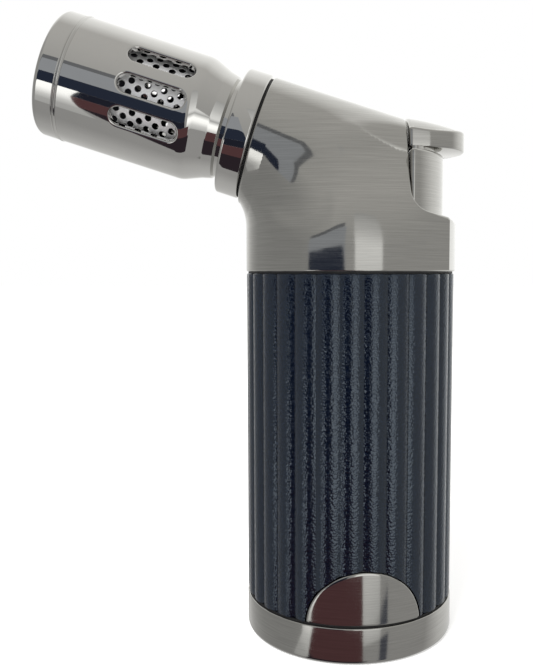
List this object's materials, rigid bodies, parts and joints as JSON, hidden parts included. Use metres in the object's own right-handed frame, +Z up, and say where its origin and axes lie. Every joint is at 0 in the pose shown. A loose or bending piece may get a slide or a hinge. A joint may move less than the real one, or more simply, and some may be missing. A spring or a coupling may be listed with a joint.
{
  "type": "butane torch",
  "caption": "Table-top butane torch with a round reeded grip, hooded metal head, raised slotted barrel and a sliding thumb pad that opens the gas and sparks it.",
  "frame": {"origin": "centre of the base's flat underside, on the grip's axis", "axes": "+Z up along the grip's axis, the barrel points to -X and rises, the half-moon plate faces -Y, the thumb pad is at +X"},
  "size_m": [0.0768, 0.038, 0.1119],
  "materials": {
    "gunmetal_brushed": "brushed gunmetal plate",
    "black_chrome": "polished black chrome",
    "sleeve_grain": "fine leather grain, satin",
    "black_rubber": "matt",
    "steel": "plain drawn steel",
    "bright_chrome": "bright chrome",
    "brass": "turned brass",
    "clear_nylon": "natural nylon",
    "black_nylon": "moulded nylon",
    "white_ceramic": "glazed",
    "wire_jacket": "satin"
  },
  "bodies": {
    "housing": {"base_cup": "gunmetal_brushed", "base_screws": "steel", "body_tube": "steel", "lower_gasket": "black_rubber", "grip_sleeve": "sleeve_grain", "half_moon_plate": "gunmetal_brushed", "upper_gasket": "black_rubber", "fuel_tank": "clear_nylon", "tank_floor": "clear_nylon", "refill_valve_body": "brass", "refill_spring": "steel", "refill_seal": "black_rubber", "outlet_valve_body": "brass", "outlet_spring": "steel", "outlet_seal": "black_rubber", "inner_frame": "black_nylon", "lever_pin": "steel", "gas_hose": "clear_nylon", "piezo_housing": "clear_nylon", "hammer_spring": "steel", "return_spring": "steel", "piezo_crystal": "white_ceramic", "piezo_anvil": "brass", "ignition_wire": "wire_jacket", "head_shell": "gunmetal_brushed", "collar_gasket": "black_rubber", "collar_ring": "black_chrome", "burner_body": "brass", "gas_jets": "brass", "flame_disc": "bright_chrome", "insulator": "white_ceramic", "electrode": "steel", "perforated_liner": "bright_chrome", "flame_barrel": "black_chrome"},
    "trigger": {"trigger_post": "gunmetal_brushed", "thumb_pad": "gunmetal_brushed", "pad_screw": "steel", "piezo_plunger": "black_nylon"},
    "lever": {"valve_lever": "steel"},
    "stem": {"outlet_stem": "brass"},
    "hammer": {"piezo_hammer": "steel"},
    "refill": {"refill_stem": "steel"},
    "adjuster": {"flame_adjuster": "black_nylon", "adjuster_needle": "brass"}
  },
  "joints": [
    {"name": "trigger_press", "type": "slide", "parent": "housing", "child": "trigger", "axis": [0, 0, -1], "range_m": [0, 0.0055], "stiffness_N_per_m": 1800, "springref_m": -0.0015, "deforming": ["hammer_spring", "return_spring"]},
    {"name": "lever_tilt", "type": "hinge", "parent": "housing", "child": "lever", "pos_m": [0.0052, 0, 0.066], "axis": [0, 1, 0], "range_deg": [0, 4.4]},
    {"name": "stem_lift", "type": "slide", "parent": "housing", "child": "stem", "axis": [0, 0, 1], "range_m": [0, 0.00085], "deforming": ["outlet_spring", "gas_hose"]},
    {"name": "hammer_strike", "type": "slide", "parent": "housing", "child": "hammer", "axis": [0, 0, -1], "range_m": [0, 0.0034], "stiffness_N_per_m": 200},
    {"name": "refill_press", "type": "slide", "parent": "housing", "child": "refill", "axis": [0, 0, 1], "range_m": [0, 0.002], "stiffness_N_per_m": 300, "springref_m": -0.001, "deforming": ["refill_spring"]},
    {"name": "flame_adjust", "type": "hinge", "parent": "housing", "child": "adjuster", "pos_m": [-0.006, 0, 0], "axis": [0, 0, 1], "range_deg": [-150, 150]}
  ],
  "couplings": [
    {"joint": "lever_tilt", "follows": "trigger_press", "rad_per_m": 13.636},
    {"joint": "stem_lift", "follows": "trigger_press", "ratio": 0.1527}
  ]
}
